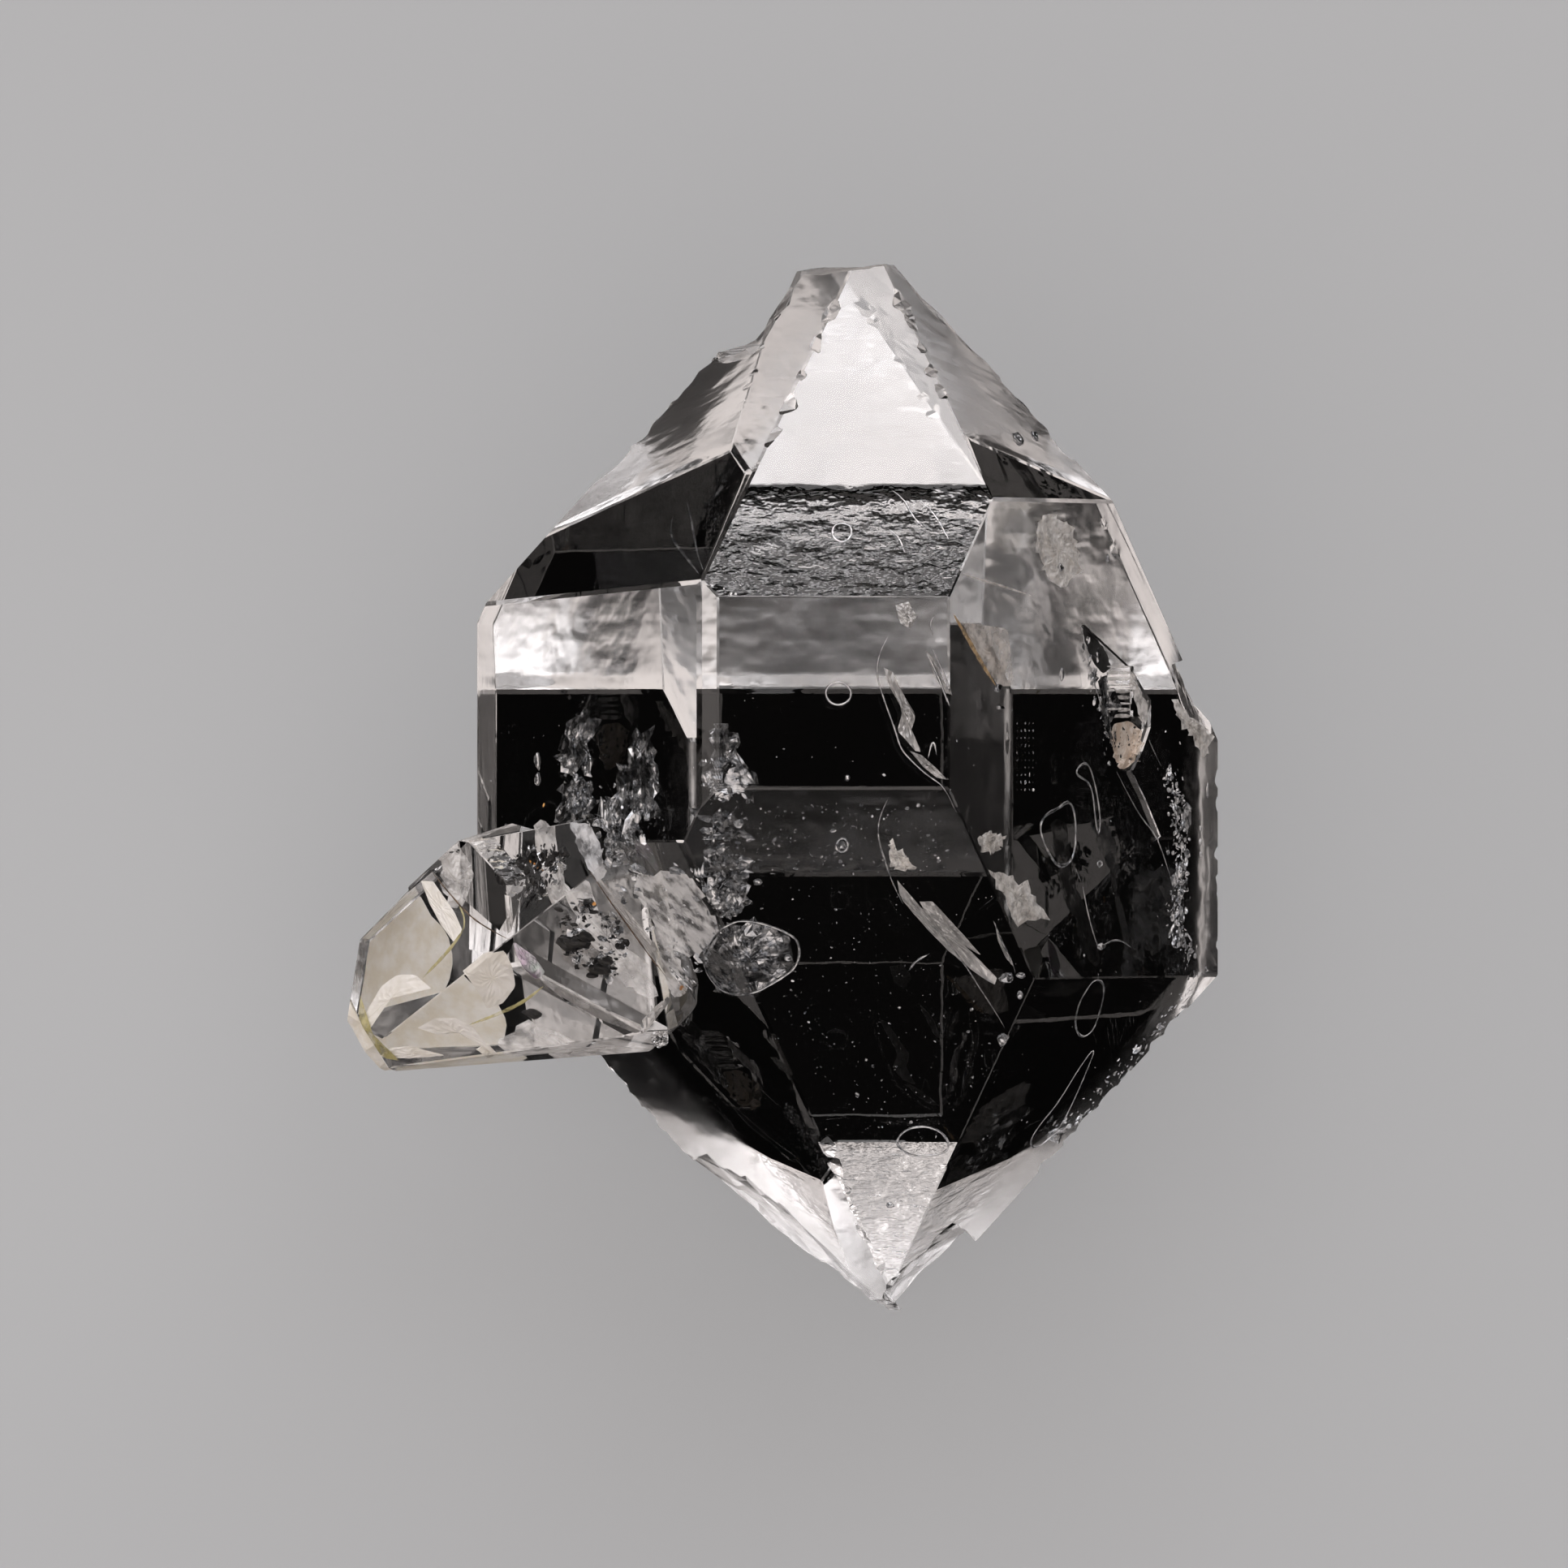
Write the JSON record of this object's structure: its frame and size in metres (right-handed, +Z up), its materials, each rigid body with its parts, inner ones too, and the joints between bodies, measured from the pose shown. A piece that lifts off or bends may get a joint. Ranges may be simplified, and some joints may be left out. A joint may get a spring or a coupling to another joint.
{
  "type": "herkimer diamond quartz crystal",
  "caption": "Clear doubly ended quartz crystal with a smaller crystal grown out of its side and a thin cream crust under the small crystal's tip.",
  "frame": {"origin": "below the middle of the specimen, on the plane of the back prism face that it rests on", "axes": "+Y along the large crystal's axis, +Z up out of the resting face towards the narrow front prism face"},
  "size_m": [0.0166, 0.02, 0.0147],
  "materials": {
    "clear_quartz": "clear, natural faces bright, broken places frosted",
    "cream_dolomite": "fine grained, matt"
  },
  "bodies": {
    "root": {"quartz_crystal": "clear_quartz", "dolomite_crust": "cream_dolomite"}
  },
  "joints": []
}
